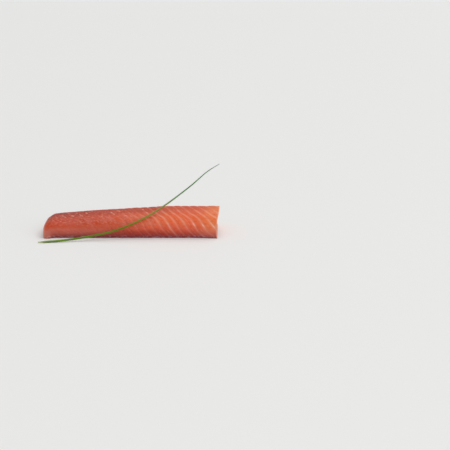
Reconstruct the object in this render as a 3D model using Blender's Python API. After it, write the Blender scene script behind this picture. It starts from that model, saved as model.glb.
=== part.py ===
"""Smoked salmon loin, cut straight at one end, with one long chive blade laid over it.

Metres, +Z up. The origin is on the flat underside, halfway along the loin and under its
crest. +X runs towards the knife cut, and -Y is the steep front side.
"""
import math

import bmesh
import bpy

# Loin: overall sizes
LENGTH = 0.203
HEIGHT_AT_CUT = 0.0292
HEIGHT_LOSS = 0.0111
LOSS_POWER = 1.9
CREST_SWELL = 0.0008
CREST_SWELL_AT = 0.140
CREST_SWELL_WIDTH = 0.024
FRONT_REACH = 0.0316
BACK_REACH = 0.027
CREST_DRIFT = 0.0040

# Loin: section, two superellipse quarters that meet at the crest
FRONT_POWERS = (2.6, 2.6)
BACK_POWERS = (2.1, 1.8)
FOOT_INSET = 0.0004
FOOT_HEIGHT = 0.0045

# Loin: rounded tail end
NOSE_RUN = 0.0100
NOSE_HEIGHT = 0.0135
NOSE_POWER = 1.6
TAIL_FRONT_POWER = 5.0
TAIL_FRONT_RUN = 0.040
FRONT_CORNER = 0.0012
BACK_CORNER = 0.0140

# Loin: knife cut, which leans out towards the crest and flares a little at the foot
CUT_LEAN = 0.0031
LEAN_FROM = 0.0140
LEAN_POWER = 1.5
CUT_FLARE = 0.0006

# Loin: soft flesh that spreads at the front foot, along the cut end and in a toe at the tail
FOOT_SPREAD = 0.0030
SPREAD_RUN = 0.034
SPREAD_POWER = 1.5
SPREAD_HEIGHT = 0.0080
TOE_SPREAD = 0.0042
TOE_AT = 0.0050
TOE_WIDTH = 0.0055

# Flesh: seams between the flakes run in an S up the front and turn back behind the crest
SEAM_PITCH = 0.0097
SEAM_PHASE = 0.0015
SEAM_DEPTH = 0.00028
SEAM_SHARPNESS = 2
SEAM_LEAN = 0.52
SEAM_BENDS = ((0.0040, 0.0045, 0.58), (0.0280, 0.0050, 0.66))
SEAM_TURN_AT = 0.058
SEAM_TURN_SLOPE = 1.60
SEAM_TURN_WIDTH = 0.003
SEAM_BARE_FOOT = 0.0020
SEAM_FAINT = 0.3
SEAM_FADE_FROM = 0.110
SEAM_FADE_TO = 0.060

# Loin: mesh
NOSE_STATIONS = 9
BODY_STATIONS = 94
SKIN_POINTS = 40
BASE_POINTS = 3
CAP_RINGS = 3
FINE_STEPS = 240
CUT_EDGE_ANGLE = math.radians(50)

# Chive: a tapered blade, from the end on the table to the tip in the air
CHIVE_KNOTS = (
    (-0.1041, -0.0529, 0.0011),
    (-0.0775, -0.0484, 0.0018),
    (-0.0491, -0.0424, 0.0045),
    (-0.0168, -0.0366, 0.0106),
    (0.0113, -0.0273, 0.0206),
    (0.0371, -0.0136, 0.0334),
    (0.0662, 0.0049, 0.0517),
    (0.0860, 0.0190, 0.0661),
    (0.1012, 0.0262, 0.0745),
)
CHIVE_RADIUS = 0.00120
CHIVE_FOOT_RADIUS = 0.00050
CHIVE_FOOT_RUN = 0.05
CHIVE_TIP_RADIUS = 0.00028
CHIVE_TAPER_FROM = 0.35
CHIVE_TAPER_POWER = 1.4
CHIVE_POINTS = 64
CHIVE_BEVEL_LEVEL = 2

# Finishes: base colour and roughness
FLESH_FINISH = ((0.66, 0.13, 0.055, 1.0), 0.38)
CHIVE_FINISH = ((0.11, 0.22, 0.035, 1.0), 0.45)


def clear_scene():
    """Remove whatever the file holds, so that only this object is in it."""
    for item in list(bpy.data.objects):
        bpy.data.objects.remove(item, do_unlink=True)


def food_material(name, finish):
    """A moist, non-metallic surface of one colour."""
    colour, roughness = finish
    material = bpy.data.materials.new(name)
    material.use_nodes = True
    shader = material.node_tree.nodes["Principled BSDF"]
    shader.inputs["Base Color"].default_value = colour
    shader.inputs["Roughness"].default_value = roughness
    shader.inputs["Metallic"].default_value = 0.0
    material.diffuse_color = colour
    return material


def smooth(value):
    """Ease from 0 to 1 as value goes from 0 to 1."""
    held = min(max(value, 0.0), 1.0)
    return held * held * (3 - 2 * held)


def corner_loss(run, radius):
    """How far a corner rounded in plan draws in at this distance from the end."""
    if run >= radius:
        return 0.0
    return radius - math.sqrt(radius ** 2 - (radius - run) ** 2)


def crest_height(run):
    """Height of the crest at this distance from the tail end."""
    to_cut = 1 - run / LENGTH
    swell = CREST_SWELL * math.exp(-(((run - CREST_SWELL_AT) / CREST_SWELL_WIDTH) ** 2))
    body = HEIGHT_AT_CUT - HEIGHT_LOSS * to_cut ** LOSS_POWER + swell
    nose = 1 - max(1 - run / NOSE_RUN, 0.0) ** NOSE_POWER
    return NOSE_HEIGHT + (body - NOSE_HEIGHT) * nose


def side_lines(run):
    """Where the front, the crest and the back lie in y at this distance from the tail end."""
    front = FRONT_REACH - corner_loss(run, FRONT_CORNER)
    back = BACK_REACH - corner_loss(run, BACK_CORNER)
    return -front, CREST_DRIFT * (1 - run / LENGTH), back


def front_powers(run):
    """Powers of the front quarter, which is boxier at the tail end."""
    boxier = (TAIL_FRONT_POWER - FRONT_POWERS[1]) * max(1 - run / TAIL_FRONT_RUN, 0.0) ** 2
    return FRONT_POWERS[0] + boxier, FRONT_POWERS[1] + boxier


def foot_spread(run):
    """How far the front foot spreads out at this distance from the tail end."""
    toe = TOE_SPREAD * math.exp(-(((run - TOE_AT) / TOE_WIDTH) ** 2))
    return toe + FOOT_SPREAD * max(1 - (LENGTH - run) / SPREAD_RUN, 0.0) ** SPREAD_POWER


def section_outline(run):
    """Points (y, z) from the front foot over the crest to the back foot, closely spaced."""
    height = crest_height(run)
    front, crest, back = side_lines(run)
    front_shape = front_powers(run)
    spread = foot_spread(run)
    outline = []
    for step in range(-FINE_STEPS, FINE_STEPS + 1):
        angle = math.pi / 2 * abs(step) / FINE_STEPS
        powers, reach = (front_shape, front - crest) if step < 0 else (BACK_POWERS, back - crest)
        z = max(height * math.cos(angle) ** (2 / powers[1]), 0.0)
        tuck = FOOT_INSET * max(1 - z / FOOT_HEIGHT, 0.0) ** 2
        if step < 0:
            tuck -= spread * max(1 - z / SPREAD_HEIGHT, 0.0) ** 2
        away = abs(reach) * math.sin(angle) ** (2 / powers[0]) - tuck
        outline.append((crest + math.copysign(away, reach), z))
    return outline


def evenly_spaced(outline, count):
    """Points at equal steps along an outline, each with its distance from the start."""
    travelled = [0.0]
    for here, after in zip(outline, outline[1:]):
        travelled.append(travelled[-1] + math.dist(here, after))
    spaced, span = [], 0
    for number in range(count):
        target = travelled[-1] * number / (count - 1)
        while span < len(outline) - 2 and travelled[span + 1] < target:
            span += 1
        share = (target - travelled[span]) / (travelled[span + 1] - travelled[span])
        start, end = outline[span], outline[span + 1]
        point = [a + (b - a) * share for a, b in zip(start, end)]
        spaced.append((point, target))
    return spaced


def cut_offset(z):
    """How far the knife cut stands back from the full length at this height."""
    climb = max(z - LEAN_FROM, 0.0) / (HEIGHT_AT_CUT - LEAN_FROM)
    lean = CUT_LEAN * (1 - climb ** LEAN_POWER)
    return lean - CUT_FLARE * max(1 - z / FOOT_HEIGHT, 0.0) ** 2


def place(run, y, z):
    """A point of the loin in the object's frame, sheared so that it ends on the cut."""
    return (-LENGTH / 2 + run * (1 - cut_offset(z) / LENGTH), y, z)


def seam_shift(climb):
    """How far along the loin a seam has moved at this distance up from the front foot."""
    shift = SEAM_LEAN * climb
    for middle, width, slope in SEAM_BENDS:
        shift += slope * width * math.tanh((climb - middle) / width)
    turned = math.log1p(math.exp((climb - SEAM_TURN_AT) / SEAM_TURN_WIDTH)) * SEAM_TURN_WIDTH
    return shift - SEAM_TURN_SLOPE * turned


def seam_groove(run, x, climb, z):
    """Depth of the shallow groove along the seams between flakes, fainter towards the tail."""
    turn = 2 * math.pi * (x + seam_shift(climb) - SEAM_PHASE) / SEAM_PITCH
    seen = smooth((run - SEAM_FADE_TO) / (SEAM_FADE_FROM - SEAM_FADE_TO))
    strength = SEAM_FAINT + (1 - SEAM_FAINT) * seen
    bare = smooth(z / SEAM_BARE_FOOT)
    return SEAM_DEPTH * strength * bare * (0.5 + 0.5 * math.cos(turn)) ** SEAM_SHARPNESS


def skin_ring(run):
    """One ring of the loin's surface: over the top with its seams, and back underneath."""
    spaced = evenly_spaced(section_outline(run), SKIN_POINTS)
    ring = []
    for number, ((y, z), climb) in enumerate(spaced):
        before = spaced[max(number - 1, 0)][0]
        after = spaced[min(number + 1, SKIN_POINTS - 1)][0]
        along = (after[0] - before[0], after[1] - before[1])
        size = math.hypot(*along)
        depth = seam_groove(run, place(run, y, z)[0], climb, z)
        y, z = y + along[1] / size * depth, z - along[0] / size * depth
        ring.append(place(run, y, z))
    front, back = spaced[0][0][0], spaced[-1][0][0]
    for number in range(1, BASE_POINTS + 1):
        y = back + (front - back) * number / (BASE_POINTS + 1)
        ring.append(place(run, y, 0.0))
    return ring


def stations():
    """Distances from the tail end: close together round the nose, then even."""
    nose = [NOSE_RUN * (number / NOSE_STATIONS) ** 2 for number in range(NOSE_STATIONS)]
    body = LENGTH - NOSE_RUN
    return nose + [NOSE_RUN + body * number / BODY_STATIONS for number in range(BODY_STATIONS + 1)]


def join_rings(mesh, first, second):
    """A band of four-sided faces between two rings."""
    count = len(first)
    for number in range(count):
        after = (number + 1) % count
        mesh.faces.new((first[number], first[after], second[after], second[number]))


def close_end(mesh, rim, run):
    """Fill an end with rings that shrink to its middle and follow the end's own form."""
    middle_y = sum(vert.co.y for vert in rim) / len(rim)
    middle_z = sum(vert.co.z for vert in rim) / len(rim)
    outer = rim
    for number in range(1, CAP_RINGS + 1):
        share = 1 - number / (CAP_RINGS + 1)
        inner = []
        for vert in rim:
            y = middle_y + (vert.co.y - middle_y) * share
            z = middle_z + (vert.co.z - middle_z) * share
            inner.append(mesh.verts.new(place(run, y, z)))
        join_rings(mesh, outer, inner)
        outer = inner
    centre = mesh.verts.new(place(run, middle_y, middle_z))
    for number, vert in enumerate(outer):
        mesh.faces.new((vert, outer[(number + 1) % len(outer)], centre))


def build_loin(collection):
    """The loin: a loft between sections that change in height, reach and corner."""
    mesh = bmesh.new()
    runs = stations()
    rings = [[mesh.verts.new(point) for point in skin_ring(run)] for run in runs]
    for first, second in zip(rings, rings[1:]):
        join_rings(mesh, first, second)
    close_end(mesh, rings[0], runs[0])
    close_end(mesh, rings[-1], runs[-1])
    bmesh.ops.recalc_face_normals(mesh, faces=mesh.faces)
    data = bpy.data.meshes.new("salmon_loin")
    mesh.to_mesh(data)
    mesh.free()
    data.shade_smooth()
    data.set_sharp_from_angle(angle=CUT_EDGE_ANGLE)
    data.materials.append(food_material("smoked salmon", FLESH_FINISH))
    loin = bpy.data.objects.new("salmon_loin", data)
    collection.objects.link(loin)
    return loin


def smooth_path(knots, count):
    """Points along one smooth curve that passes through every knot (Catmull-Rom)."""
    spans = len(knots) - 1
    path = []
    for number in range(count):
        place_on = spans * number / (count - 1)
        span = min(int(place_on), spans - 1)
        t = place_on - span
        start, end = knots[span], knots[span + 1]
        before = knots[span - 1] if span else [2 * a - b for a, b in zip(start, end)]
        after = knots[span + 2] if span + 2 <= spans else [2 * b - a for a, b in zip(start, end)]
        point = []
        for a, b, c, d in zip(before, start, end, after):
            bend = (2 * a - 5 * b + 4 * c - d) * t * t + (3 * b - a - 3 * c + d) * t ** 3
            point.append(0.5 * (2 * b + (c - a) * t + bend))
        path.append(point)
    return path


def chive_radius(share):
    """Radius of the blade: drawn in at its foot, then tapering to a fine tip."""
    foot = CHIVE_FOOT_RADIUS + (CHIVE_RADIUS - CHIVE_FOOT_RADIUS) * smooth(share / CHIVE_FOOT_RUN)
    taper = max(share - CHIVE_TAPER_FROM, 0.0) / (1 - CHIVE_TAPER_FROM)
    return foot - (CHIVE_RADIUS - CHIVE_TIP_RADIUS) * taper ** CHIVE_TAPER_POWER


def build_chive(collection):
    """The chive: a round tapered curve."""
    curve = bpy.data.curves.new("chive", "CURVE")
    curve.dimensions = "3D"
    curve.bevel_depth = 1.0
    curve.bevel_resolution = CHIVE_BEVEL_LEVEL
    curve.use_fill_caps = True
    spline = curve.splines.new("POLY")
    spline.points.add(CHIVE_POINTS - 1)
    for number, point in enumerate(smooth_path(CHIVE_KNOTS, CHIVE_POINTS)):
        spline.points[number].co = (*point, 1.0)
        spline.points[number].radius = chive_radius(number / (CHIVE_POINTS - 1))
    curve.materials.append(food_material("chive", CHIVE_FINISH))
    chive = bpy.data.objects.new("chive", curve)
    collection.objects.link(chive)
    return chive


def main():
    clear_scene()
    collection = bpy.data.collections.new("smoked salmon loin")
    bpy.context.scene.collection.children.link(collection)
    build_loin(collection)
    build_chive(collection)


main()
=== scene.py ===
# %% [markdown]
# # A smoked salmon loin with a blade of chive
# A loin is the thick back fillet of a salmon, trimmed of its skin and smoked whole. This lesson
# dresses a plain model of it: the solids give the true sizes, and the cells below make the moist
# flesh, the fat between its flakes and the fresh green blade.

# %% Load the plain model
import math

import bpy
import numpy as np
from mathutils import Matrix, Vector, noise


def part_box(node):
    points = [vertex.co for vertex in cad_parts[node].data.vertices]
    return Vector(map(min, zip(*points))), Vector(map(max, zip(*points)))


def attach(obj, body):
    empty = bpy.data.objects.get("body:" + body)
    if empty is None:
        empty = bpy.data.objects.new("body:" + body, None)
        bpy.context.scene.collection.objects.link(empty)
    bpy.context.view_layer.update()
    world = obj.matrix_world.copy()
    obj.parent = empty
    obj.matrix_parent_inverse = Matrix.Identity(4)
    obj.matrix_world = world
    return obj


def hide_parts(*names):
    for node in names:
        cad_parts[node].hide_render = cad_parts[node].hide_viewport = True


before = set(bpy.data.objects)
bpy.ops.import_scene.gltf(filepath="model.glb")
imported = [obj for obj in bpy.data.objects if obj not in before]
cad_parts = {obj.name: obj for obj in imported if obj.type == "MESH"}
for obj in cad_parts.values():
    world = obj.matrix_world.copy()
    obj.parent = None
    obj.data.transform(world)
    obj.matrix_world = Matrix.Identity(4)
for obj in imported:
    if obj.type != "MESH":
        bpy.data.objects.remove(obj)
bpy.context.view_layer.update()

MM = 1000.0

loin_low, loin_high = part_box("salmon_loin")
print("nodes:", sorted(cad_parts))
print("loin, mm:", [round(MM * side, 1) for side in loin_high - loin_low])

# %% [markdown]
# ## Camera
# Long, low food is shot with a long lens from a little above the table, so that both the steep
# front and a strip of the top show. The loin lies in the left half and leaves room beside it.
# The lens could be set by eye, but it follows here from how far the camera stands and how much
# of the table it should see.

# %% Set up the camera
SENSOR = 36.0
VIEW_WIDTH = 0.5175
CAMERA_DISTANCE = 1.27
CAMERA_ELEVATION = math.radians(15.4)
CAMERA_AIM = Vector((0.10787, -0.0296, 0.01491))

scene = bpy.context.scene
backwards = Vector((0, -math.cos(CAMERA_ELEVATION), math.sin(CAMERA_ELEVATION)))
lens = bpy.data.cameras.new("camera")
lens.sensor_width = SENSOR
lens.lens = SENSOR * CAMERA_DISTANCE / VIEW_WIDTH
camera = bpy.data.objects.new("camera", lens)
camera.location = CAMERA_AIM + backwards * CAMERA_DISTANCE
camera.rotation_euler = (math.pi / 2 - CAMERA_ELEVATION, 0, 0)
scene.collection.objects.link(camera)
scene.camera = camera
print("lens, mm:", round(lens.lens, 1))

# %% [markdown]
# ## Light
# Wet food shows its form through long soft reflections, so both lamps are very wide. One shines
# from above and behind and draws the milky sheen along the crest. A weaker one fills the front.
# They are suns, whose light is the same everywhere, so the pale table stays even. The standard
# view transform keeps the colours as they are mixed.

# %% Hang the lamps
LAMPS = {
    "top light": ((0.30, 0.50, 1.00), 60, 1.45),
    "front light": ((0.80, -0.90, 0.80), 70, 0.95),
}
WORLD_COLOUR = (1.0, 1.0, 1.0, 1.0)
WORLD_STRENGTH = 0.44


def hang_lamp(name, place, spread, power):
    """A wide soft light that shines from this side of the loin."""
    light = bpy.data.lights.new(name, "SUN")
    light.angle = math.radians(spread)
    light.energy = power
    lamp = bpy.data.objects.new(name, light)
    lamp.location = place
    lamp.rotation_euler = (-Vector(place)).to_track_quat("-Z", "Y").to_euler()
    scene.collection.objects.link(lamp)


for name, (place, spread, power) in LAMPS.items():
    hang_lamp(name, place, spread, power)
world = bpy.data.worlds.new("soft room")
world.use_nodes = True
background = world.node_tree.nodes["Background"]
background.inputs["Color"].default_value = WORLD_COLOUR
background.inputs["Strength"].default_value = WORLD_STRENGTH
scene.world = world
scene.view_settings.view_transform = "Standard"
print("lamps:", len(LAMPS))

# %% [markdown]
# ## The form of the loin
# The loin is a loft: a row of cross-sections from the tail end to the knife cut. Each section is
# two quarters of a superellipse that meet at the crest, steep at the front and sloping at the
# back. The soft foot of the front spreads a little on the table, in a toe at the tail and again
# towards the cut. It could be sculpted, but a formula repeats the plain model's form exactly and
# lets the mesh be as fine as the relief needs. Sizes are in metres, and run is the distance from
# the tail end.

# %% Sizes of the loin
LENGTH = loin_high.x - loin_low.x
HEIGHT_AT_CUT = loin_high.z - loin_low.z

# The crest falls towards the tail and swells a little past the middle.
HEIGHT_LOSS = 0.0111
LOSS_POWER = 1.9
CREST_SWELL = 0.0008
CREST_SWELL_AT = 0.140
CREST_SWELL_WIDTH = 0.024

# The sides, and how far the crest drifts backwards on its way to the tail.
FRONT_REACH = 0.0316
BACK_REACH = 0.027
CREST_DRIFT = 0.0040

# Powers of the superellipse, sideways and upwards: 2 is round, more is boxier.
FRONT_POWERS = (2.6, 2.6)
BACK_POWERS = (2.1, 1.8)
TAIL_FRONT_POWER = 5.0
TAIL_FRONT_RUN = 0.040

# The foot is tucked in all round, and the front one spreads near both ends.
FOOT_INSET = 0.0004
FOOT_HEIGHT = 0.0045
FOOT_SPREAD = 0.0030
SPREAD_RUN = 0.034
SPREAD_POWER = 1.5
SPREAD_HEIGHT = 0.0080
TOE_SPREAD = 0.0042
TOE_AT = 0.0050
TOE_WIDTH = 0.0055

# The tail has a blunt nose and round corners, and the cut leans and flares at its foot.
NOSE_RUN = 0.0100
NOSE_HEIGHT = 0.0135
NOSE_POWER = 1.6
FRONT_CORNER = 0.0012
BACK_CORNER = 0.0140
CUT_LEAN = 0.0031
LEAN_FROM = 0.0140
LEAN_POWER = 1.5
CUT_FLARE = 0.0006
print("length and height, mm:", round(MM * LENGTH, 1), round(MM * HEIGHT_AT_CUT, 1))

# %% Lines along the loin


def corner_loss(run, radius):
    """How far a round corner draws in at this distance from the end."""
    short = np.clip(radius - run, 0, None)
    return radius - np.sqrt(radius ** 2 - short ** 2)


def crest_height(run):
    """Height of the crest at this distance from the tail end."""
    swell = CREST_SWELL * math.exp(-(((run - CREST_SWELL_AT) / CREST_SWELL_WIDTH) ** 2))
    body = HEIGHT_AT_CUT - HEIGHT_LOSS * (1 - run / LENGTH) ** LOSS_POWER + swell
    nose = 1 - max(1 - run / NOSE_RUN, 0.0) ** NOSE_POWER
    return NOSE_HEIGHT + (body - NOSE_HEIGHT) * nose


def side_lines(run):
    """Where the front, the crest and the back lie in y at this distance from the tail end."""
    front = FRONT_REACH - corner_loss(run, FRONT_CORNER)
    back = BACK_REACH - corner_loss(run, BACK_CORNER)
    return -front, CREST_DRIFT * (1 - run / LENGTH), back


def foot_spread(run):
    """How far the front foot spreads: in a toe at the tail, and towards the cut."""
    toe = TOE_SPREAD * math.exp(-(((run - TOE_AT) / TOE_WIDTH) ** 2))
    return toe + FOOT_SPREAD * max(1 - (LENGTH - run) / SPREAD_RUN, 0.0) ** SPREAD_POWER


print("height at the tail's shoulder, mm:", round(MM * crest_height(NOSE_RUN), 1))

# %% One cross-section
SKIN_POINTS = 176
FINE_STEPS = 400


def section(run):
    """Even steps (y, z) from the front foot over the crest to the back foot, and the climb."""
    front, crest, back = side_lines(run)
    angle = np.linspace(-math.pi / 2, math.pi / 2, 2 * FINE_STEPS + 1)
    ahead = angle < 0
    reach = np.where(ahead, front, back) - crest
    boxier = (TAIL_FRONT_POWER - FRONT_POWERS[1]) * max(1 - run / TAIL_FRONT_RUN, 0.0) ** 2
    spread = np.where(ahead, FRONT_POWERS[0] + boxier, BACK_POWERS[0])
    rise = np.where(ahead, FRONT_POWERS[1] + boxier, BACK_POWERS[1])
    z = crest_height(run) * np.clip(np.cos(angle), 0, None) ** (2 / rise)
    tuck = FOOT_INSET * np.clip(1 - z / FOOT_HEIGHT, 0, None) ** 2
    tuck -= ahead * foot_spread(run) * np.clip(1 - z / SPREAD_HEIGHT, 0, None) ** 2
    away = np.abs(reach) * np.abs(np.sin(angle)) ** (2 / spread) - tuck
    y = crest + np.sign(reach) * away
    travelled = np.insert(np.cumsum(np.hypot(np.diff(y), np.diff(z))), 0, 0)
    climb = np.linspace(0, travelled[-1], SKIN_POINTS)
    return np.interp(climb, travelled, y), np.interp(climb, travelled, z), climb


print("over the skin at the cut, mm:", round(MM * float(section(LENGTH)[2][-1]), 1))

# %% [markdown]
# ## Sections along the loin
# The sections stand half a millimetre apart, closer round the ends, where the form turns
# quickly. The knife cut leans, so each ring is sheared towards it.

# %% Line up the sections
NOSE_STATIONS = 26
BODY_STATIONS = 376
EDGE_STATIONS = 6
TAIL_EDGE = 0.0009
CUT_EDGE = 0.00045


def stations():
    """Distances from the tail end at which the sections stand."""
    nose = NOSE_RUN * np.linspace(0, 1, NOSE_STATIONS, endpoint=False) ** 2
    body = np.linspace(NOSE_RUN, LENGTH - CUT_EDGE, BODY_STATIONS, endpoint=False)
    turn = np.linspace(0, math.pi / 2, EDGE_STATIONS)
    edge = LENGTH - CUT_EDGE * (1 - np.sin(turn))
    return np.concatenate([nose, body, edge])


def place_x(run, z):
    """x of a point at this run, sheared so that the last ring ends on the knife cut."""
    climb = np.clip(z - LEAN_FROM, 0, None) / (HEIGHT_AT_CUT - LEAN_FROM)
    lean = CUT_LEAN * (1 - np.clip(climb, 0, 1) ** LEAN_POWER)
    offset = lean - CUT_FLARE * np.clip(1 - z / FOOT_HEIGHT, 0, None) ** 2
    return -LENGTH / 2 + run * (1 - offset / LENGTH)


runs = stations()
skin_y, skin_z, skin_climb = (np.array(part) for part in zip(*map(section, runs)))
print("sections:", len(runs), "with", SKIN_POINTS, "points over the skin")

# %% [markdown]
# ## Where the seams run
# Salmon muscle is built of flakes, and a thin sheet of fat, the seam, parts each flake from the
# next. On the side of a loin the seams draw an S: they lean back at the foot, stand up at half
# height and sweep towards the tail over the crest. One number tells everything about them: how
# far a point lies along the loin once the S is taken out. Seams lie where it is a whole number
# of flakes. A slow noise makes them wander, as grown things do, and near the cut, where the
# loin is thickest, the flakes grow longer, so the seams stretch apart there.

# %% The seam field
SEAM_PITCH = 0.0097
SEAM_PHASE = 0.0015
SEAM_LEAN = 0.52

# The middle, the half width and the slope of each bend of the S.
SEAM_BENDS = ((0.0040, 0.0045, 0.58), (0.0280, 0.0050, 0.66))
SEAM_TURN_AT = 0.058
SEAM_TURN_SLOPE = 1.60
SEAM_TURN_WIDTH = 0.003

# The size and the height of each noise, and the start and the rate of each stretch.
WANDER = ((0.021, 0.0009), (0.0065, 0.00042))
STRETCHES = ((0.165, 0.05), (0.184, 0.10))
SEED_STEP = Vector((13.1, 7.7, 3.3))


def seam_shift(climb):
    """How far along the loin a seam has moved at this distance up from the front foot."""
    shift = SEAM_LEAN * climb
    for middle, width, slope in SEAM_BENDS:
        shift = shift + slope * width * np.tanh((climb - middle) / width)
    turned = np.logaddexp(0, (climb - SEAM_TURN_AT) / SEAM_TURN_WIDTH) * SEAM_TURN_WIDTH
    return shift - SEAM_TURN_SLOPE * turned


def cloud(points, size, seed):
    """Soft noise from -1 to 1 with blotches of about this size."""
    start = SEED_STEP * seed
    return np.array([noise.noise(Vector(point) / size + start) for point in points])


def wander(points):
    """How far the seams stray from their rule at each point, and spread towards the cut."""
    layers = [height * cloud(points, size, seed) for seed, (size, height) in enumerate(WANDER)]
    run = points[:, 0] + LENGTH / 2
    stretched = [rate * np.clip(run - start, 0, None) for start, rate in STRETCHES]
    return np.sum(layers, axis=0) - np.sum(stretched, axis=0)


skin_shift = seam_shift(skin_climb)
print("seams sweep over, mm:", round(MM * float(np.ptp(skin_shift[-1])), 1))

# %% [markdown]
# ## Relief of the flesh
# The flakes swell a little between their seams, and a trimming knife never leaves a loin quite
# even. Both are true shape here, so that the outline and the glints follow them. Every point is
# pushed inwards, square to its section.

# %% How deep the skin is carved
SEAM_DEPTH = 0.00022
SEAM_SHARPNESS = 2
SEAM_BARE_FOOT = 0.0020
SEAM_FAINT = 0.25
SEAM_FADE_FROM = 0.110
SEAM_FADE_TO = 0.060
CREASE_DEPTH = 0.00008
CREASE_WIDTH = 0.0006

# The size, the height and the seed of each unevenness.
UNEVEN = ((0.017, 0.00025, 5), (0.0050, 0.00008, 6))


def smooth(value):
    """Ease from 0 to 1 as value goes from 0 to 1."""
    held = np.clip(value, 0, 1)
    return held * held * (3 - 2 * held)


def seam_gap(seam):
    """Distance to the nearest seam, measured along the loin."""
    return np.abs((seam + SEAM_PITCH / 2) % SEAM_PITCH - SEAM_PITCH / 2)


def relief(points, seam, run, z):
    """How deep the surface lies below the smooth form."""
    wave = 0.5 + 0.5 * np.cos(2 * math.pi * seam / SEAM_PITCH)
    depth = SEAM_DEPTH * wave ** SEAM_SHARPNESS
    depth += CREASE_DEPTH * np.exp(-(seam_gap(seam) / CREASE_WIDTH) ** 2)
    seen = smooth((run - SEAM_FADE_TO) / (SEAM_FADE_FROM - SEAM_FADE_TO))
    depth *= smooth(z / SEAM_BARE_FOOT) * (SEAM_FAINT + (1 - SEAM_FAINT) * seen)
    for size, height, seed in UNEVEN:
        depth += height * cloud(points, size, seed) * smooth(z / FOOT_HEIGHT)
    return depth


print("seam depth, mm:", round(MM * (SEAM_DEPTH + CREASE_DEPTH), 2))

# %% Carve the skin
run_grid = np.repeat(runs[:, None], SKIN_POINTS, axis=1)
skin = np.stack([place_x(run_grid, skin_z), skin_y, skin_z], axis=-1)
flat = skin.reshape(-1, 3)
skin_seam = (skin[..., 0] + skin_shift).ravel() + wander(flat) - SEAM_PHASE
depth = relief(flat, skin_seam, run_grid.ravel(), flat[:, 2]).reshape(skin_z.shape)
depth += corner_loss(run_grid, TAIL_EDGE) + corner_loss(LENGTH - run_grid, CUT_EDGE)
along_y, along_z = np.gradient(skin_y, axis=1), np.gradient(skin_z, axis=1)
step = np.hypot(along_y, along_z)
skin[..., 1] += along_z / step * depth
skin[..., 2] = np.clip(skin[..., 2] - along_y / step * depth, 0, None)
print("relief, mm:", round(MM * float(depth.min()), 2), "to", round(MM * float(depth.max()), 2))

# %% [markdown]
# ## Underside
# The loin lies flat on the table, so straight lines of points close each ring underneath. They
# could be one wide face, but points in between let the seams run on below. About a quarter of
# the way back from the front foot lies the core, a strip of dark muscle that was under the skin,
# and the seams are led to it from both feet.

# %% Close a ring
BASE_POINTS = 24
RING_POINTS = SKIN_POINTS + BASE_POINTS
CORE_AT = 0.27
CORE_SHIFT = -0.0200


def close_ring(ring, shift):
    """A skin ring with its underside, and the seam shift of every point of it."""
    share = np.arange(1, BASE_POINTS + 1) / (BASE_POINTS + 1)
    under = ring[-1] + (ring[0] - ring[-1]) * share[:, None]
    under_shift = np.interp(1 - share, [0, CORE_AT, 1], [shift[0], CORE_SHIFT, shift[-1]])
    return np.vstack([ring, under]), np.append(shift, under_shift)


closed = [close_ring(ring, shift) for ring, shift in zip(skin, skin_shift)]
rings, shifts = [ring for ring, _ in closed], [shift for _, shift in closed]
print("points in a ring:", RING_POINTS)

# %% [markdown]
# ## Ends
# The two ends are filled with rings that shrink to the middle. On a cut face the flakes show as
# arcs round the core near the base, because the sheets of fat are nested cones. The seam shift
# is known all round the rim, so it has to be carried inwards until the arcs take over. It could
# be a simple fade to the middle, but that kinks the seams. Mean value coordinates don't, and work
# for any outline: they weigh each rim point by the angle it takes up.

# %% Carry the values of a rim inwards
def carried_inwards(rim, inner, values):
    """Values round a rim, carried to points inside it."""
    spokes = rim[None] - inner[:, None]
    reach = np.hypot(spokes[..., 0], spokes[..., 1])
    heading = np.arctan2(spokes[..., 1], spokes[..., 0])
    turn = (np.roll(heading, -1, axis=1) - heading + math.pi) % (2 * math.pi) - math.pi
    half = np.tan(turn / 2)
    weight = (half + np.roll(half, 1, axis=1)) / reach
    return weight @ values / weight.sum(axis=1)


square = np.array([[1.0, 1.0], [-1.0, 1.0], [-1.0, -1.0], [1.0, -1.0]])
in_middle = carried_inwards(square, np.zeros((1, 2)), np.arange(4.0))
print("0, 1, 2, 3 at a square's corners make in its middle:", round(float(in_middle[0]), 2))

# %% Fill an end
ARC_HEIGHTS = (0.0, 0.0085, 0.0145, 0.0208, 0.0270, 0.0330)
ARC_MIDDLES = (-0.018, -0.016, -0.010, -0.004, 0.0, 0.002)
ARC_HALF_WIDTHS = (0.008, 0.0150, 0.0190, 0.0235, 0.0290, 0.0340)
ARC_FIRST_LIFT = 0.001
ARC_ROUNDS = 30
CORE_SEAM_SHIFT = -0.0176
RIM_KEEPS = 0.30


def arc_shift(points):
    """Seam shift of points of a cut face that lie on nested arcs over the core."""
    y, z = points[:, 1], points[:, 2]
    height = z + ARC_FIRST_LIFT
    for _ in range(ARC_ROUNDS):
        middle = np.interp(height, ARC_HEIGHTS, ARC_MIDDLES)
        flatness = height / np.interp(height, ARC_HEIGHTS, ARC_HALF_WIDTHS)
        height = 0.5 * height + 0.5 * np.hypot(z, (y - middle) * flatness)
    arc_shifts = CORE_SEAM_SHIFT + SEAM_PITCH * np.arange(len(ARC_HEIGHTS))
    return np.interp(height, ARC_HEIGHTS, arc_shifts)


def fill_end(rim, shift, run, count):
    """Rings from an end's rim to its middle, with their seam shift."""
    middle = rim.mean(axis=0)
    shares = 1 - np.arange(1, count + 1) / (count + 0.5)
    rings, shifts = [], []
    for share in shares:
        ring = middle + (rim - middle) * share
        ring[:, 0] = place_x(run, ring[:, 2])
        rings.append(ring)
        carried = carried_inwards(rim[:, 1:], ring[:, 1:], shift)
        shifts.append(carried + (arc_shift(ring) - carried) * smooth((1 - share) / RIM_KEEPS))
    return rings, shifts


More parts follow.
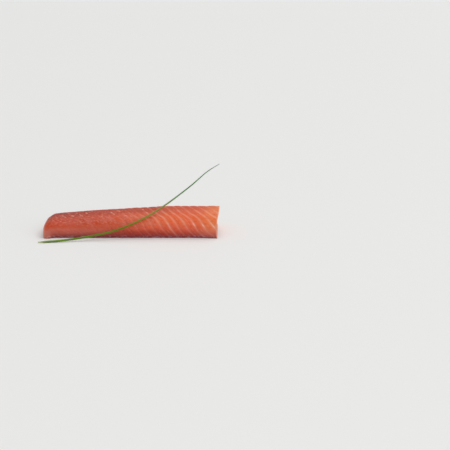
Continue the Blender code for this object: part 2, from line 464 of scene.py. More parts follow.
print("arcs on the cut:", len(ARC_HEIGHTS))

# %% Add both ends
CUT_RINGS = 24
TAIL_RINGS = 9

tail_rings, tail_shifts = fill_end(rings[0], shifts[0], runs[0], TAIL_RINGS)
cut_rings, cut_shifts = fill_end(rings[-1], shifts[-1], runs[-1], CUT_RINGS)
rings = tail_rings[::-1] + rings + cut_rings
shifts = tail_shifts[::-1] + shifts + cut_shifts
print("rings:", len(rings))

# %% [markdown]
# ## One mesh
# All rings have the same number of points, so the whole loin is one long grid, from the middle
# of the tail end to the middle of the cut. Each point also keeps two vectors for the materials:
# grain holds its place among the seams, its climb and its run, and core holds its seam shift and
# its y and z. They are in millimetres, which are handy units for shader numbers. Inside the tail
# end the run counts on below zero, so that its rim can be told from its middle.

# %% Helpers for a grid of points
def grid_faces(ring_count, point_count):
    """Four-sided faces between neighbouring rings, facing out."""
    ring, point = np.meshgrid(np.arange(ring_count - 1), np.arange(point_count), indexing="ij")
    after = (point + 1) % point_count
    first, second = ring * point_count, (ring + 1) * point_count
    corners = [first + point, second + point, second + after, first + after]
    return np.stack(corners, axis=-1).reshape(-1, 4)


def add_attribute(mesh, name, values):
    """Store one vector for every point."""
    attribute = mesh.attributes.new(name, "FLOAT_VECTOR", "POINT")
    attribute.data.foreach_set("vector", np.asarray(values, np.float32).ravel())


print("faces of a grid of 3 rings of 4 points:", len(grid_faces(3, 4)))

# %% Build the loin
LOIN = "salmon"
END_RUN_STEP = 0.001

points = np.vstack(rings)
shift = np.concatenate(shifts)
seam = points[:, 0] + shift + wander(points) - SEAM_PHASE
climb_of_ring = np.zeros((len(rings), RING_POINTS))
climb_of_ring[TAIL_RINGS:-CUT_RINGS, :SKIN_POINTS] = skin_climb
run_inside = -END_RUN_STEP * np.arange(TAIL_RINGS, 0, -1)
run_of_ring = np.concatenate([run_inside, runs, [LENGTH] * CUT_RINGS])
run_of_point = np.repeat(run_of_ring, RING_POINTS)

tail_middle = list(range(RING_POINTS))
cut_middle = list(range(len(points) - RING_POINTS, len(points)))[::-1]
faces = grid_faces(len(rings), RING_POINTS).tolist() + [tail_middle, cut_middle]
loin_mesh = bpy.data.meshes.new(LOIN)
loin_mesh.from_pydata(points.tolist(), [], faces)
loin_mesh.validate()
add_attribute(loin_mesh, "grain", MM * np.stack([seam, climb_of_ring.ravel(), run_of_point], 1))
add_attribute(loin_mesh, "core", MM * np.stack([shift, points[:, 1], points[:, 2]], 1))
loin_mesh.shade_smooth()
loin = bpy.data.objects.new(LOIN, loin_mesh)
scene.collection.objects.link(loin)
print("loin points:", len(points), "faces:", len(loin_mesh.polygons))

# %% [markdown]
# ## The table
# A plain pale surface, wide enough to reach past the picture at any height of view. One large
# face does, where a curved backdrop would show its bend from other sides. It is a stage, not
# part of the food.

# %% Lay the table
TABLE_SIZE = 60.0
TABLE_COLOUR = (0.80, 0.80, 0.79, 1.0)
TABLE_ROUGHNESS = 0.6

table_mesh = bpy.data.meshes.new("table")
half = TABLE_SIZE / 2
table_corners = [(-half, -half, 0), (half, -half, 0), (half, half, 0), (-half, half, 0)]
table_mesh.from_pydata(table_corners, [], [(0, 1, 2, 3)])
table_paint = bpy.data.materials.new("pale table")
table_paint.use_nodes = True
table_shader = table_paint.node_tree.nodes["Principled BSDF"]
table_shader.inputs["Base Color"].default_value = TABLE_COLOUR
table_shader.inputs["Roughness"].default_value = TABLE_ROUGHNESS
table_mesh.materials.append(table_paint)
table = bpy.data.objects.new("table", table_mesh)
scene.collection.objects.link(table)
print("table, m:", TABLE_SIZE)

# %% [markdown]
# ## Shader maths as Python
# A material is a tree of nodes, and wiring each one by hand hides the sum behind the plumbing.
# The class below wraps an output socket, so that `1 - mask * 0.5` adds the Math nodes by itself.
# Everything else, such as noise or a ramp, goes through one method that takes the node's type,
# its settings and what its sockets get.

# %% A socket that does sums
class Wire:
    """An output socket of a shader tree that can be used in Python sums."""

    def __init__(self, socket):
        self.socket = socket

    def __getitem__(self, name):
        """Another output of the same node."""
        return Wire(self.socket.node.outputs[name])

    @property
    def tree(self):
        return self.socket.id_data

    def math(self, operation, *others):
        """A Math node on this value and any others that the operation takes."""
        sockets = dict(enumerate((self, *others)))
        return add_node(self.tree, "ShaderNodeMath", {"operation": operation}, sockets)

    def __add__(self, other):
        return self.math("ADD", other)

    def __sub__(self, other):
        return self.math("SUBTRACT", other)

    def __rsub__(self, other):
        """1 - mask is the mask times -1, plus 1, which is one node."""
        return self.math("MULTIPLY_ADD", -1.0, other)

    def __mul__(self, other):
        return self.math("MULTIPLY", other)

    def __truediv__(self, other):
        return self.math("DIVIDE", other)

    __radd__, __rmul__ = __add__, __mul__

    def between(self, start, end):
        """0 up to start and 1 from end on, eased in between. Start may be the higher one."""
        settings = {"interpolation_type": "SMOOTHSTEP"}
        sockets = {"Value": self, "From Min": start, "From Max": end}
        return add_node(self.tree, "ShaderNodeMapRange", settings, sockets)


operators = [name for name, thing in vars(Wire).items() if name[:2] == "__" and callable(thing)]
print("a wire understands:", ", ".join(operators))

# %% Any other node
def add_node(tree, kind, settings=None, sockets=None):
    """A node of this kind: settings first, then each socket's value or link."""
    node = tree.nodes.new(kind)
    for name, value in (settings or {}).items():
        if name == "stops":
            set_stops(node.color_ramp, value)
        else:
            setattr(node, name, value)
    for name, value in (sockets or {}).items():
        if isinstance(value, Wire):
            tree.links.new(value.socket, node.inputs[name])
        else:
            node.inputs[name].default_value = value
    return Wire(node.outputs[0])


def set_stops(ramp, stops):
    """Give a ramp its colours at their places."""
    while len(ramp.elements) < len(stops):
        ramp.elements.new(1.0)
    for element, (place, colour) in zip(ramp.elements, stops):
        element.position, element.color = place, colour


print("nodes ready to be wired")

# %% [markdown]
# ## Colours
# Colours are easiest to judge as the three numbers a screen shows, from 0 to 255. Shaders count
# in light, so each is turned into its linear value once, by the formula of the sRGB standard.
# Mixing goes through a Mix node, because a Math node would turn a colour grey.

# %% Colour helpers
MIX_FACTOR, MIX_FIRST, MIX_SECOND, MIX_RESULT = 0, 6, 7, 2
BLACK = (0.0, 0.0, 0.0, 1.0)


def screen(red, green, blue):
    """The linear colour that a screen shows as these values from 0 to 255."""
    shares = (value / 255 for value in (red, green, blue))
    linear = [s / 12.92 if s <= 0.04045 else ((s + 0.055) / 1.055) ** 2.4 for s in shares]
    return (*linear, 1.0)


def mix(factor, first, second):
    """The second colour over the first, by a factor that the node holds between 0 and 1."""
    settings = {"data_type": "RGBA", "clamp_factor": True}
    sockets = {MIX_FACTOR: factor, MIX_FIRST: first, MIX_SECOND: second}
    return add_node(factor.tree, "ShaderNodeMix", settings, sockets)[MIX_RESULT]


def ramp(value, stops):
    """A colour that depends on a value from 0 to 1."""
    return add_node(value.tree, "ShaderNodeValToRGB", {"stops": stops}, {"Fac": value})


print("a mid pink, linear:", [round(value, 3) for value in screen(215, 120, 100)])

# %% [markdown]
# ## Places and patches
# Fat, marbling and bloom are patches, and a noise draws patches wherever it is given a place.
# The place could be the point itself, but patches in muscle are longer one way than the other.
# So each way is divided by how long the patches are that way, and a layer number keeps one
# pattern apart from the next.

# %% Helpers for noise
def blotches(where, size, detail=2.0, roughness=0.5):
    """Soft noise from 0 to 1, with blotches of about this size in the units of where."""
    sockets = {"Vector": where, "Scale": 1 / size, "Detail": detail, "Roughness": roughness}
    return add_node(where.tree, "ShaderNodeTexNoise", {}, sockets)


def spot(x, y, z):
    """A place in noise, made of three values."""
    tree = next(value.tree for value in (x, y, z) if isinstance(value, Wire))
    return add_node(tree, "ShaderNodeCombineXYZ", {}, {"X": x, "Y": y, "Z": z})


def patches(x, y, sizes, layer=0.0, detail=2.0, roughness=0.5):
    """Soft noise from 0 to 1, whose patches have these two sizes along x and y."""
    return blotches(spot(x / sizes[0], y / sizes[1], layer), 1.0, detail, roughness)


def parts(vector):
    """The three values of a vector."""
    first = add_node(vector.tree, "ShaderNodeSeparateXYZ", {}, {"Vector": vector})
    return first, first["Y"], first["Z"]


def attribute(tree, name):
    """The vector stored with the points under this name."""
    return add_node(tree, "ShaderNodeAttribute", {"attribute_name": name})["Vector"]


print("noise helpers ready")

# %% [markdown]
# ## A moist surface
# Fish and leaf share the same start: a shader with some light let in under the surface and a thin
# wet coat. Those are the same all over a piece, so they are set on the shader's own sockets.

# %% Start a moist material
GLOW_BY_COLOUR = (1.0, 0.35, 0.22)
MOIST_SPECULAR = 0.22
MOIST_IOR = 1.40
COAT_ROUGHNESS = 0.16


def moist_material(name, glow, glow_depth, coat):
    """A material whose light enters a little way and whose surface is wet."""
    material = bpy.data.materials.new(name)
    material.use_nodes = True
    shader = material.node_tree.nodes["Principled BSDF"]
    shader.inputs["Subsurface Weight"].default_value = glow
    shader.inputs["Subsurface Radius"].default_value = GLOW_BY_COLOUR
    shader.inputs["Subsurface Scale"].default_value = glow_depth
    shader.inputs["Specular IOR Level"].default_value = MOIST_SPECULAR
    shader.inputs["IOR"].default_value = MOIST_IOR
    shader.inputs["Coat Weight"].default_value = coat
    shader.inputs["Coat Roughness"].default_value = COAT_ROUGHNESS
    return material, shader


def dress(shader, colour, roughness, height, bump_depth):
    """Wire a colour, a roughness and a fine relief into a shader."""
    tree = shader.id_data
    tree.links.new(colour.socket, shader.inputs["Base Color"])
    tree.links.new(roughness.socket, shader.inputs["Roughness"])
    bump = add_node(tree, "ShaderNodeBump", {}, {"Distance": bump_depth, "Height": height})
    tree.links.new(bump.socket, shader.inputs["Normal"])


print("coat roughness:", COAT_ROUGHNESS)

# %% [markdown]
# ## The bare flesh
# The outside of the loin is painted as a cook sees it: first the flesh itself, then its fat, then
# the dark foot. The flesh could have one colour, but smoke and thickness change it along the
# loin: brick red at the tail and orange by the cut, and part of the lightening towards the cut is
# painted light. So two ramps by height are mixed by the run, and the tail's end face takes the
# same finish as the skin. Both ramps darken towards the foot, partly the flesh's own purple-brown
# and partly painted shade, and darken at the crest, which is painted shade.
#
# From here on, a pair of numbers for `between` is a range: nothing at its first number and
# everything at its second. A pair named EDGE is a range of a noise's values, and the others are
# in millimetres. Run is counted from the tail end, climb goes up over the skin from the front
# foot, and height is over the table.

# %% Paint the bare flesh
RAMP_HEIGHT = 30.0
# Both ramps darken at the foot, partly the flesh's own purple-brown and partly painted shade, and
# at the top, which is painted shade.
TAIL_FLESH = (
    (0.00, screen(144, 60, 52)),
    (0.12, screen(172, 80, 68)),
    (0.24, screen(198, 100, 84)),
    (0.33, screen(205, 102, 82)),
    (0.43, screen(198, 79, 48)),
    (0.62, screen(178, 56, 28)),
)
CUT_FLESH = (
    (0.00, screen(148, 52, 46)),
    (0.16, screen(178, 66, 50)),
    (0.34, screen(220, 96, 68)),
    (0.60, screen(236, 110, 68)),
    (0.80, screen(228, 102, 58)),
    (0.97, screen(200, 78, 40)),
)
TAIL_TO_CUT = (30.0, 150.0)
ORANGE = screen(238, 138, 78)
ORANGE_RUN = (175.0, 203.0)
ORANGE_HEIGHT = (3.0, 10.0)

flesh, flesh_shader = moist_material("smoked flesh", glow=0.2, glow_depth=0.0018, coat=0.04)
tree = flesh.node_tree
along, climb, run = parts(attribute(tree, "grain"))
_, across, height = parts(attribute(tree, "core"))
place = spot(run, across, height)
tail_colour = ramp(height / RAMP_HEIGHT, TAIL_FLESH)
cut_colour = ramp(height / RAMP_HEIGHT, CUT_FLESH)
# Lighter towards the cut: partly the flesh's own tone, partly painted light.
colour = mix(run.between(*TAIL_TO_CUT), tail_colour, cut_colour)
# Partly painted light: a brighter orange low on the front near the cut, over the flesh's own
# orange.
colour = mix(run.between(*ORANGE_RUN) * height.between(*ORANGE_HEIGHT) * 0.6, colour, ORANGE)
print("flesh nodes so far:", len(tree.nodes))

# %% Mottle it
PATCH_SIZE = 14.0
MOTTLE_SIZES = (3.2, 2.2)
FIBRE_SIZES = (5.0, 0.45)
BRIGHTER_RUN = (150.0, 190.0)
RED_FLESH = screen(200, 58, 26)
RED_SIZES = (4.5, 3.0)
RED_LAYER = 7.0
RED_EDGE = (0.50, 0.66)
REDDER_FROM = (78.0, 100.0)
REDDER_TO = (145.0, 122.0)

patchy = blotches(place, PATCH_SIZE, detail=3.0)
mottled = patches(along, climb, MOTTLE_SIZES)
fibres = patches(run, climb, FIBRE_SIZES)
shade = 0.78 + 0.14 * patchy + 0.22 * mottled + 0.08 * fibres
# The mottling is random tone; the small rise towards the cut is partly painted light.
colour = mix(shade + 0.06 * run.between(*BRIGHTER_RUN), BLACK, colour)
red_spots = patches(along, climb, RED_SIZES, RED_LAYER).between(*RED_EDGE)
redder = 0.28 + 0.22 * run.between(*REDDER_FROM) * run.between(*REDDER_TO)
colour = mix(red_spots * redder, colour, RED_FLESH)
print("flesh nodes with mottling:", len(tree.nodes))

# %% [markdown]
# ## Painted shade, and what the smoke does
# Smoke and salt dry the loin unevenly, and at half height towards the tail they leave a milky
# veil of dried juice. The deep red on the foot of the middle is a painted shadow under the chive,
# and the dull dark brick on the crest is painted shade. Each is one colour laid over the flesh
# where it belongs, and the veil is torn by noise.

# %% Lay the painted chive shadow, the painted crest shade and the veil
CHIVE_SHADOW = screen(150, 36, 22)
DEEP_FROM = (62.0, 92.0)
DEEP_TO = (165.0, 115.0)
DEEP_HEIGHT = (13.0, 5.0)
CREST_SHADE = screen(142, 32, 12)
CREST_CLIMB = (26.0, 40.0)
CREST_TO = (152.0, 118.0)
CREST_TAIL = (60.0, 20.0)
MILKY = screen(202, 118, 106)
VEIL_SIZES = (9.0, 5.0)
VEIL_LAYER = 11.0
VEIL_EDGE = (0.36, 0.62)
VEIL_FROM = (12.0, 40.0)
VEIL_TO = (150.0, 125.0)
VEIL_LOW = (11.0, 16.0)
VEIL_HIGH = (33.0, 24.0)

# Painted shadow: the foot of the middle, under the chive, is darkened to a deep red.
deep = run.between(*DEEP_FROM) * run.between(*DEEP_TO) * height.between(*DEEP_HEIGHT)
colour = mix(deep * 0.5, colour, CHIVE_SHADOW)
# Painted shade: the crest is darkened to a dull brick, most towards the tail.
crest_shade = climb.between(*CREST_CLIMB) * run.between(*CREST_TO)
colour = mix(crest_shade * (0.52 + 0.2 * run.between(*CREST_TAIL)), colour, CREST_SHADE)
veil = patches(along, climb, VEIL_SIZES, VEIL_LAYER).between(*VEIL_EDGE)
veiled = run.between(*VEIL_TO) * climb.between(*VEIL_LOW) * climb.between(*VEIL_HIGH)
colour = mix(veil * veiled * run.between(*VEIL_FROM) * 0.34, colour, MILKY)
print("flesh nodes with smoke:", len(tree.nodes))

# %% [markdown]
# ## Fat in the seams
# Each seam shows as a soft pale haze with a thin paler line in it. It could be one stripe
# pattern, but no two seams of a real fish are alike: they fade towards the tail and the foot,
# and some are thick while others hardly show. The distance to the nearest seam draws the lines,
# and chance decides once for each seam how strong and how thick it is.

# %% Where the seams show
PITCH_MM = MM * SEAM_PITCH
SEAM_SEED = 0.5
THICK_SEED = 651.5
THICK_EDGE = (0.35, 0.65)
BREAK_SIZES = (20.0, 5.0)
TOP_CLIMB = (23.0, 33.0)
STROKE_SIZE = 6.0
STROKE_EDGE = (0.46, 0.58)
STROKES_FROM = (5.0, 20.0)
HIGH_CLIMB = (16.0, 24.0)
SEEN_HIGH = (80.0, 122.0)
SEEN_LOW = (94.0, 152.0)


def chance(number, seed):
    """A chance from 0 to 1 that is the same wherever the number is."""
    settings = {"noise_dimensions": "1D"}
    return add_node(number.tree, "ShaderNodeTexWhiteNoise", settings, {"W": number + seed})


seam_number = (along / PITCH_MM).math("ROUND")
seam_luck = chance(seam_number, SEAM_SEED)
thick = chance(seam_number, THICK_SEED).between(*THICK_EDGE)
gap = along.math("PINGPONG", PITCH_MM / 2)
breaks = patches(along, climb, BREAK_SIZES)
torn = blotches(place, STROKE_SIZE, detail=1.0).between(*STROKE_EDGE)
strokes = climb.between(*TOP_CLIMB) * run.between(*STROKES_FROM) * torn
high = climb.between(*HIGH_CLIMB)
to_cut = run.between(*SEEN_HIGH) * high + run.between(*SEEN_LOW) * (1 - high)
seen = to_cut.math("MAXIMUM", strokes * 0.9)
print("flesh nodes with seams:", len(tree.nodes))

# %% Paint the fat
FAT = screen(240, 172, 146)
HAZE_WIDTH = (3.6, 0.1)
CORE_WIDTH = (1.3, 0.1)
STRONG_EDGE = (0.34, 0.60)
FOOT_CLIMB = (7.0, 13.0)
THIN_CLIMB = (19.0, 13.0)
THIN_RUN = (118.0, 136.0)
OVER_CREST = (33.0, 41.0)
WIDER_RUN = (108.0, 146.0)

strength = seen * (0.5 + 0.35 * seam_luck + 0.35 * breaks.between(*STRONG_EDGE))
haze = gap.between(*HAZE_WIDTH)
core = gap.between(*CORE_WIDTH)
foot_fade = 0.55 + 0.45 * climb.between(*FOOT_CLIMB)
thin_fade = 1 - 0.45 * (1 - thick) * climb.between(*THIN_CLIMB) * run.between(*THIN_RUN)
fade = foot_fade * thin_fade * (1 - 0.55 * climb.between(*OVER_CREST))
wide = 0.20 + 0.12 * run.between(*WIDER_RUN)
colour = mix(haze * strength * fade * wide, colour, FAT)
colour = mix(core * strength * fade * 0.20, colour, FAT)
print("flesh nodes with fat:", len(tree.nodes))

# %% Painted glints, bright dashes and threads
BRIGHT_FAT_AND_GLINT = screen(252, 210, 188)
DASH_WIDTH = (1.3, 0.2)
DASH_LOW = (10.0, 14.0)
DASH_HIGH = (20.0, 16.0)
DASH_EDGE = (0.40, 0.58)
CREST_DASH_WIDTH = (1.4, 0.3)
CREST_DASH_TO = (134.0, 118.0)
CREST_DASH_EDGE = (0.48, 0.60)
THREAD_OFFSET = 0.42 * PITCH_MM
THREAD_STRAY = 2.5
THREAD_WIDTH = (0.9, 0.1)
THREAD_EDGE = (0.45, 0.62)

# Painted highlight: the bright dashes where the seams kink at half height stand for glints of
# light on the fat.
dash = gap.between(*DASH_WIDTH) * climb.between(*DASH_LOW) * climb.between(*DASH_HIGH)
dash = dash * thick * (0.35 + 0.65 * breaks.between(*DASH_EDGE)) * to_cut
colour = mix(dash * 0.5, colour, BRIGHT_FAT_AND_GLINT)
crest_dash = gap.between(*CREST_DASH_WIDTH) * strokes * run.between(*CREST_DASH_TO)
colour = mix(crest_dash * breaks.between(*CREST_DASH_EDGE) * 0.45, colour, BRIGHT_FAT_AND_GLINT)

thread_gap = (along + THREAD_OFFSET + THREAD_STRAY * patchy).math("PINGPONG", PITCH_MM / 2)
thread = thread_gap.between(*THREAD_WIDTH) * breaks.between(*THREAD_EDGE) * seen
colour = mix(thread * 0.22, colour, FAT)
print("flesh nodes with dashes:", len(tree.nodes))

# %% [markdown]
# ## Marbling
# Towards the tail the fat lies in fine flecks instead of clear seams, most of them from half
# height up over the crest. They could be scattered one by one, but they are too many and too
# small. A rough noise that follows the grain of the flakes draws them all.

# %% Scatter the marbling
MARBLING = screen(222, 134, 110)
FLECK_SIZES = (2.6, 2.0)
FLECK_LAYER = 3.0
FLECK_EDGE = (0.49, 0.64)
MARBLED_RUN = (140.0, 80.0)
MARBLED_CLIMB = (12.0, 19.0)
MARBLED_BACK = (42.0, 52.0)
MARBLED_FROM = (0.5, 4.0)

rough_noise = patches(along, climb, FLECK_SIZES, FLECK_LAYER, detail=3.0, roughness=0.65)
flecks = rough_noise.between(*FLECK_EDGE)
marbled = run.between(*MARBLED_RUN) * (0.25 + 0.75 * climb.between(*MARBLED_CLIMB))
marbled = marbled * (1 - 0.45 * climb.between(*MARBLED_BACK)) * run.between(*MARBLED_FROM)
colour = mix(flecks * marbled * 0.58, colour, MARBLING)
print("flesh nodes with marbling:", len(tree.nodes))

# %% [markdown]
# ## Foot, tail and rims
# Along the foot runs a strip of dark muscle with silver specks of skin left on it. Its darkness
# is partly the muscle's own colour and partly painted shade, and a painted contact shadow makes
# it darkest where it touches the table. Its upper edge is ragged, so a noise lifts and lowers the
# height it is drawn by. Near the cut the foot turns paler, and so does the rim of the cut. The
# toe gets a painted sheen, and the rim of the tail's end a painted rim highlight.

# %% Darken the foot
DARK_MUSCLE_AND_SHADE = screen(128, 66, 74)
SILVER = screen(196, 150, 160)
RAGGED_LONG = 9.0
RAGGED_TALL = 3.0
RAGGED_LIFT = 3.0
FOOT_EDGE = (7.0, 2.5)
FOOT_FROM = (3.0, 14.0)
FOOT_TO = (178.0, 200.0)
SPECK_LONG = 3.0
SPECK_EDGE = (0.52, 0.62)
SPECK_HEIGHT = (5.2, 3.2)

ragged_place = spot(run / RAGGED_LONG, height / RAGGED_TALL, across / RAGGED_LONG)
ragged = height + RAGGED_LIFT * blotches(ragged_place, 1.0, detail=3.0)
foot = run.between(*FOOT_FROM) * (1 - 0.7 * run.between(*FOOT_TO))
# The dark foot strip is partly the dark muscle's own colour and partly painted shade.
colour = mix(ragged.between(*FOOT_EDGE) * foot * 0.6, colour, DARK_MUSCLE_AND_SHADE)
speck_place = spot(run / SPECK_LONG, height, across / SPECK_LONG)
specks = blotches(speck_place, 1.0).between(*SPECK_EDGE)
colour = mix(specks * ragged.between(*SPECK_HEIGHT) * 0.5, colour, SILVER)
print("flesh nodes with foot:", len(tree.nodes))

# %% Lighten the toe and the rims
RIM_HIGHLIGHT = screen(226, 156, 136)
TOE_RUN = (13.0, 3.0)
TOE_HEIGHT = (11.0, 4.0)
TAIL_RIM_OUTSIDE = (3.0, 0.3)
TAIL_RIM_INSIDE = (-4.5, -0.5)
PALE_FOOT = screen(222, 128, 112)
PALE_RUN = (172.0, 194.0)
PALE_HIGH = (13.0, 8.0)
PALE_LOW = (0.5, 4.5)
CONTACT_SHADOW = screen(84, 40, 42)
CONTACT_HEIGHT = (2.8, 0.4)
CONTACT_FROM = (4.0, 10.0)
CUT_RIM = screen(244, 180, 150)
CUT_RIM_RUN = (MM * LENGTH - 1.6, MM * LENGTH - 0.4)

# Painted sheen: the low toe at the tail is lightened.
toe = run.between(*TOE_RUN) * height.between(*TOE_HEIGHT)
colour = mix(toe * 0.34, colour, RIM_HIGHLIGHT)
# Painted rim highlight round the tail's end.
tail_rim_highlight = run.between(*TAIL_RIM_OUTSIDE) * run.between(*TAIL_RIM_INSIDE)
colour = mix(tail_rim_highlight * 0.6, colour, RIM_HIGHLIGHT)
pale_foot = run.between(*PALE_RUN) * height.between(*PALE_HIGH) * height.between(*PALE_LOW)
colour = mix(pale_foot * 0.36, colour, PALE_FOOT)
# Painted contact shadow: the foot darkens where it meets the table.
contact_shadow = height.between(*CONTACT_HEIGHT) * run.between(*CONTACT_FROM)
colour = mix(contact_shadow * 0.32, colour, CONTACT_SHADOW)
colour = mix(run.between(*CUT_RIM_RUN) * 0.45, colour, CUT_RIM)
print("flesh nodes with rims:", len(tree.nodes))

# %% [markdown]
# ## Gloss and grain of the skin
# Fat is a little duller than flesh, and fibres break the gloss into fine glints. These are too
# fine for the mesh, so they are left to a bump.

# %% Finish the skin
GRAIN_SIZE = 1.6
FLESH_BUMP = 0.00015

roughness = 0.36 + 0.16 * patchy + 0.08 * haze
fine_relief = 0.5 * fibres + 0.5 * blotches(place, GRAIN_SIZE) - 0.3 * core
dress(flesh_shader, colour, roughness, fine_relief, FLESH_BUMP)
loin_mesh.materials.append(flesh)
print("flesh nodes:", len(tree.nodes))

# %% [markdown]
# ## The cut face
# A knife shows the flakes end on. Round the purple-grey core of dark muscle they lie in arcs, and
# the sheets of fat between them run as pale lines that meet the seams on the outside, because
# both are drawn from the same seam number. The flesh is pinker by the core and a warm orange
# above it. A thick vein of fat runs down from the shoulder, and a forked one from the crest. They
# could be curves laid on the face, but painted lines can't come loose from it.

# %% Numbers of the cut finish
# The seam shift at which the ramp starts, and how far it goes on.
SHIFT_LOW, SHIFT_SPAN = -24.0, 72.0
CUT_FACE = (
    (0.00, screen(150, 82, 92)),
    (0.205, screen(172, 90, 86)),
    (0.235, screen(200, 82, 60)),
    (0.36, screen(212, 88, 56)),
    (0.50, screen(226, 102, 56)),
    (0.65, screen(234, 118, 60)),
    (1.00, screen(236, 124, 66)),
)
FACE_PATCH = 7.0
FACE_GRAIN = 0.7

# The warm spot: its middle, how much flatter than round it is, and a range of squared distance.
WARM_FLESH = screen(246, 156, 78)
WARM_AT = (4.0, 21.0)
WARM_FLATNESS = 1.6
WARM_SQUARED = (260.0, 10.0)

# The lines of fat between the arcs, and the dark base, which is partly dark skin-side tissue and
# partly painted contact shadow.
CUT_FAT = screen(244, 190, 160)
LINE_WIDTH = (1.5, 0.2)
LINE_BREAK = 5.0
LINE_EDGE = (0.35, 0.62)
DARK_BASE = (1.8, 0.6)
print("colours of the face:", len(CUT_FACE))

# %% How a vein is drawn
# The start, the end and the width of each vein.
VEINS = (
    ((-27.5, 21.5), (-22.0, 10.5), 1.5),
    ((13.0, 25.5), (9.5, 17.5), 1.3),
    ((9.5, 17.5), (20.5, 3.0), 0.9),
)
VEIN_STRAY = 1.6
VEIN_STRAY_SIZES = (4.0, 3.1)
VEIN_FULL = 0.1

# Where a vein starts and stops, as shares of its length.
VEIN_STARTS = (-0.12, 0.1)
VEIN_STOPS = (1.1, 0.75)


def vein(across, height, start, end, width):
    """How much of a vein from start to end covers a point: 1 on its line, 0 past its width."""
    length = math.dist(start, end)
    ahead_y, ahead_z = (end[0] - start[0]) / length, (end[1] - start[1]) / length
    from_y, from_z = across - start[0], height - start[1]
    travelled = (from_y * ahead_y + from_z * ahead_z) / length
    aside = (from_z * ahead_y - from_y * ahead_z).math("ABSOLUTE")
    whole = travelled.between(*VEIN_STARTS) * travelled.between(*VEIN_STOPS)
    return aside.between(width, VEIN_FULL) * whole


print("longest vein, mm:", round(max(math.dist(start, end) for start, end, _ in VEINS), 1))

# %% Flesh of the cut face
cut, cut_shader = moist_material("cut flesh", glow=0.2, glow_depth=0.0018, coat=0.12)
tree = cut.node_tree
along = parts(attribute(tree, "grain"))[0]
shift_mm, across, height = parts(attribute(tree, "core"))
place = spot(across, height, 0.0)

colour = ramp((shift_mm - SHIFT_LOW) / SHIFT_SPAN, CUT_FACE)
off_y, off_z = across - WARM_AT[0], (height - WARM_AT[1]) * WARM_FLATNESS
warm = (off_y * off_y + off_z * off_z).between(*WARM_SQUARED)
colour = mix(warm * 0.6, colour, WARM_FLESH)
grains = blotches(place, FACE_GRAIN, roughness=0.6)
patchy = blotches(place, FACE_PATCH, detail=3.0)
colour = mix(0.84 + 0.2 * patchy + 0.12 * grains, BLACK, colour)
print("cut nodes so far:", len(tree.nodes))

# %% Fat of the cut face
gap = along.math("PINGPONG", PITCH_MM / 2)
unbroken = blotches(place, LINE_BREAK).between(*LINE_EDGE)
lines = gap.between(*LINE_WIDTH) * (0.35 + 0.75 * unbroken)
colour = mix(lines * 0.62, colour, CUT_FAT)
stray_y, stray_z = (VEIN_STRAY * (blotches(place, size) - 0.5) for size in VEIN_STRAY_SIZES)
for start, end, width in VEINS:
    covered = vein(across + stray_y, height + stray_z, start, end, width)
    colour = mix(covered * 0.8, colour, CUT_FAT)
# Painted contact shadow along the foot of the cut face, over dark skin-side tissue.
colour = mix(height.between(*DARK_BASE) * 0.6, colour, DARK_MUSCLE_AND_SHADE)

roughness = 0.34 + 0.14 * patchy - 0.06 * lines
dress(cut_shader, colour, roughness, 0.6 * grains + 0.5 * lines, FLESH_BUMP)
loin_mesh.materials.append(cut)
print("cut nodes:", len(tree.nodes))

# %% Give the cut face its material
face_rows = np.zeros(len(rings) - 1, int)
face_rows[-CUT_RINGS:] = 1
material_of_face = np.append(np.repeat(face_rows, RING_POINTS), [0, 1])
loin_mesh.polygons.foreach_set("material_index", material_of_face)
print("faces on the cut:", int(material_of_face.sum()))

# %% [markdown]
# ## The chive
# Chive is a hollow round leaf, thin as a knitting needle at its foot and finer towards its tip.
# It could be a curve with a bevel. A mesh tube is used here, because its fine lengthwise ribs
# are then true shape. It follows a smooth curve through a few points: on the table in front of
# the tail, over the front shoulder and up into the air.

# %% Route of the chive
CHIVE_RINGS = 420
CHIVE_KNOTS = (
    (-0.1041, -0.0529, 0.0011),
    (-0.0775, -0.0484, 0.0018),
    (-0.0491, -0.0424, 0.0045),
    (-0.0168, -0.0366, 0.0106),
    (0.0113, -0.0273, 0.0206),
    (0.0371, -0.0136, 0.0334),
    (0.0662, 0.0049, 0.0517),
    (0.0860, 0.0190, 0.0661),
    (0.1012, 0.0262, 0.0745),
)


def smooth_path(knots, count):
    """Points along one smooth curve that passes through every knot (Catmull-Rom)."""
    knots = np.array(knots)
    padded = np.vstack([2 * knots[0] - knots[1], knots, 2 * knots[-1] - knots[-2]])
    place_on = np.linspace(0, len(knots) - 1, count)
    span = np.minimum(place_on.astype(int), len(knots) - 2)
    t = (place_on - span)[:, None]
    before, start, end, after = (padded[span + step] for step in range(4))
    slope = (end - before) * t
    bend = (2 * before - 5 * start + 4 * end - after) * t ** 2
    swing = (3 * start - before - 3 * end + after) * t ** 3
    return 0.5 * (2 * start + slope + bend + swing)


path = smooth_path(CHIVE_KNOTS, CHIVE_RINGS)
path_steps = np.linalg.norm(np.diff(path, axis=0), axis=1)
print("chive, mm long:", round(MM * float(path_steps.sum()), 1))

# %% Thickness of the chive
CHIVE_RADIUS = 0.00120
CHIVE_FOOT_RADIUS = 0.00050
CHIVE_TIP_RADIUS = 0.00028

# Where the blade is full grown and where it starts to taper, as shares of its length.
CHIVE_FULL_FROM = 0.05
CHIVE_TAPER_FROM = 0.35
CHIVE_TAPER_POWER = 1.4


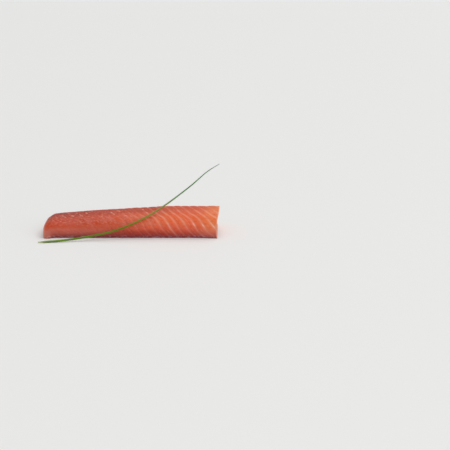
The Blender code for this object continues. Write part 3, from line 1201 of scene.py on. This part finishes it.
def chive_radius(share):
    """Radius of the blade: drawn in at its foot, then tapering to a fine tip."""
    grown = smooth(share / CHIVE_FULL_FROM)
    foot = CHIVE_FOOT_RADIUS + (CHIVE_RADIUS - CHIVE_FOOT_RADIUS) * grown
    taper = np.clip(share - CHIVE_TAPER_FROM, 0, None) / (1 - CHIVE_TAPER_FROM)
    return foot - (CHIVE_RADIUS - CHIVE_TIP_RADIUS) * taper ** CHIVE_TAPER_POWER


ends_thick = [round(2 * MM * float(chive_radius(end)), 2) for end in (0.0, 1.0)]
print("foot and tip, mm thick:", ends_thick)

# %% Rings of the chive
CHIVE_SIDES = 30
RIB_COUNT = 10
RIB_DEPTH = 0.035

ahead = np.gradient(path, axis=0)
ahead /= np.linalg.norm(ahead, axis=1, keepdims=True)
aside = np.cross(ahead, (0.0, 0.0, 1.0))
aside /= np.linalg.norm(aside, axis=1, keepdims=True)
upward = np.cross(aside, ahead)
share = np.linspace(0, 1, CHIVE_RINGS)
angle = np.linspace(0, 2 * math.pi, CHIVE_SIDES, endpoint=False)
rib = 1 - RIB_DEPTH * (0.5 + 0.5 * np.cos(RIB_COUNT * angle))
spokes = aside[:, None] * np.cos(angle)[:, None] + upward[:, None] * np.sin(angle)[:, None]
chive_points = path[:, None] + spokes * (chive_radius(share)[:, None] * rib)[..., None]
print("ribs, mm deep at most:", round(MM * CHIVE_RADIUS * RIB_DEPTH, 3))

# %% Build the chive
CHIVE = "chive_blade"

foot_end = list(range(CHIVE_SIDES))
tip_end = list(range((CHIVE_RINGS - 1) * CHIVE_SIDES, CHIVE_RINGS * CHIVE_SIDES))[::-1]
chive_faces = grid_faces(CHIVE_RINGS, CHIVE_SIDES)[:, ::-1].tolist() + [foot_end, tip_end]
chive_mesh = bpy.data.meshes.new(CHIVE)
chive_mesh.from_pydata(chive_points.reshape(-1, 3).tolist(), [], chive_faces)
travelled = MM * np.insert(np.cumsum(path_steps), 0, 0)
blade = np.stack(np.broadcast_arrays(travelled[:, None], np.cos(angle), np.sin(angle)), axis=-1)
add_attribute(chive_mesh, "blade", blade)
chive_mesh.shade_smooth()
chive = bpy.data.objects.new(CHIVE, chive_mesh)
scene.collection.objects.link(chive)
print("chive faces:", len(chive_mesh.polygons))

# %% [markdown]
# ## The green of the chive
# The leaf is yellow-green where it grew in the shade of the bunch, a deep fresh green along the
# table, a duller olive over the fish and a cool green towards its tip. A ramp along its length
# gives those. Fine pale streaks follow its ribs, and a waxy bloom dulls it in patches.

# %% Paint the chive
CHIVE_LENGTH = float(travelled[-1])
LEAF = (
    (0.00, screen(158, 172, 78)),
    (0.05, screen(106, 140, 26)),
    (0.22, screen(88, 122, 8)),
    (0.36, screen(100, 116, 16)),
    (0.46, screen(122, 126, 26)),
    (0.56, screen(140, 140, 58)),
    (0.62, screen(134, 138, 70)),
    (0.69, screen(98, 137, 82)),
    (0.85, screen(68, 122, 60)),
    (1.00, screen(70, 116, 58)),
)
STREAK = screen(156, 180, 84)
STREAK_LONG = 24.0
STREAK_CLOSE = 2.4
STREAK_EDGE = (0.50, 0.70)
BLOOM_LONG = 5.0
LEAF_BUMP = 0.00006

leaf, leaf_shader = moist_material("chive leaf", glow=0.15, glow_depth=0.0006, coat=0.08)
tree = leaf.node_tree
travel, east, north = parts(attribute(tree, "blade"))
colour = ramp(travel / CHIVE_LENGTH, LEAF)
streak_place = spot(travel / STREAK_LONG, east * STREAK_CLOSE, north * STREAK_CLOSE)
streaks = blotches(streak_place, 1.0, detail=3.0, roughness=0.6)
bloom = blotches(spot(travel / BLOOM_LONG, east, north), 1.0, detail=3.0)
colour = mix(0.88 + 0.24 * bloom, BLACK, colour)
colour = mix(streaks.between(*STREAK_EDGE) * 0.35, colour, STREAK)
dress(leaf_shader, colour, 0.36 + 0.2 * bloom, streaks, LEAF_BUMP)
chive_mesh.materials.append(leaf)
print("leaf nodes:", len(tree.nodes))

# %% [markdown]
# ## Dress the plain model
# Each piece stands for its plain solid, which is then hidden, and moves with the one body.

# %% Hand the pieces over
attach(loin, "root")
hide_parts("salmon_loin")
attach(chive, "root")
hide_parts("chive")
